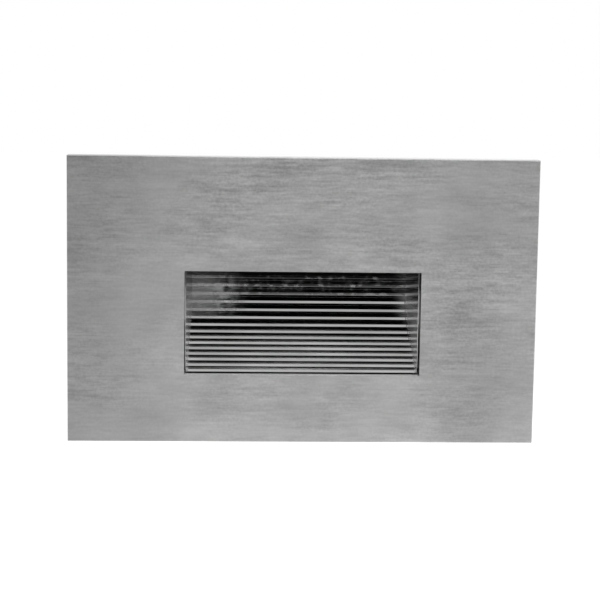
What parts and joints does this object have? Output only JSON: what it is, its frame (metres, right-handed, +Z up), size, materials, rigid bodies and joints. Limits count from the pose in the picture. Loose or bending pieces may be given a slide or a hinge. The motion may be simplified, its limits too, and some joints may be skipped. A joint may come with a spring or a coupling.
{
  "type": "recessed accent light",
  "caption": "Wall-recessed accent light: brushed rectangular face plate with a wide window over a ribbed, swept metal scoop, on a cast housing.",
  "frame": {"origin": "centre of the gasket's seat on the wall, level with the middle of the face plate", "axes": "+Y into the wall, +X to the right seen from the front, +Z up"},
  "size_m": [0.1142, 0.0585, 0.0698],
  "materials": {
    "plate": "brushed along its length",
    "stud": "plain",
    "foam": "closed-cell foam",
    "casting": "as cast, tumbled",
    "magnet": "nickel plated",
    "reflector": "polished",
    "screw": "plain",
    "lens": "frosted",
    "seal": "matt",
    "white_moulding": "fine texture",
    "white_board": "white solder mask on aluminium",
    "emitter": "phosphor under silicone",
    "thermal_pad": "soft",
    "lead": "silicone sleeve",
    "green_board": "solder mask",
    "ferrite": "sintered",
    "coil_tape": "polyester tape",
    "can_sleeve": "shrink sleeve",
    "black_moulding": "moulded",
    "varistor": "epoxy dip",
    "terminal_moulding": "moulded",
    "nylon": "moulded",
    "ground_screw": "green plating",
    "brass": "plain"
  },
  "bodies": {
    "fixture": {"wall_gasket": "foam", "housing": "casting", "plate_magnets": "magnet", "scoop_reflector": "reflector", "scoop_screws": "screw", "light_lens": "lens", "lens_gasket": "seal", "lens_frame": "white_moulding", "led_board": "white_board", "led_emitters": "emitter", "led_board_screws": "screw", "thermal_pad": "thermal_pad", "led_leads": "lead", "driver_board": "green_board", "driver_screws": "screw", "transformer_core": "ferrite", "transformer_coil": "coil_tape", "smoothing_capacitor": "can_sleeve", "bridge_rectifier": "black_moulding", "driver_chip": "black_moulding", "varistor": "varistor", "terminal_block": "terminal_moulding", "terminal_screws": "screw", "rear_gasket": "seal", "rear_cover": "casting", "rear_cover_screws": "screw", "gland_body": "nylon", "gland_seal": "seal", "gland_cap": "nylon", "gland_locknut": "nylon", "ground_screw": "ground_screw", "ground_washer": "brass"},
    "cover": {"face_plate": "plate", "locating_pins": "stud"}
  },
  "joints": [
    {"name": "cover_pull", "type": "slide", "parent": "fixture", "child": "cover", "axis": [0, -1, 0], "range_m": [0, 0.04]}
  ]
}
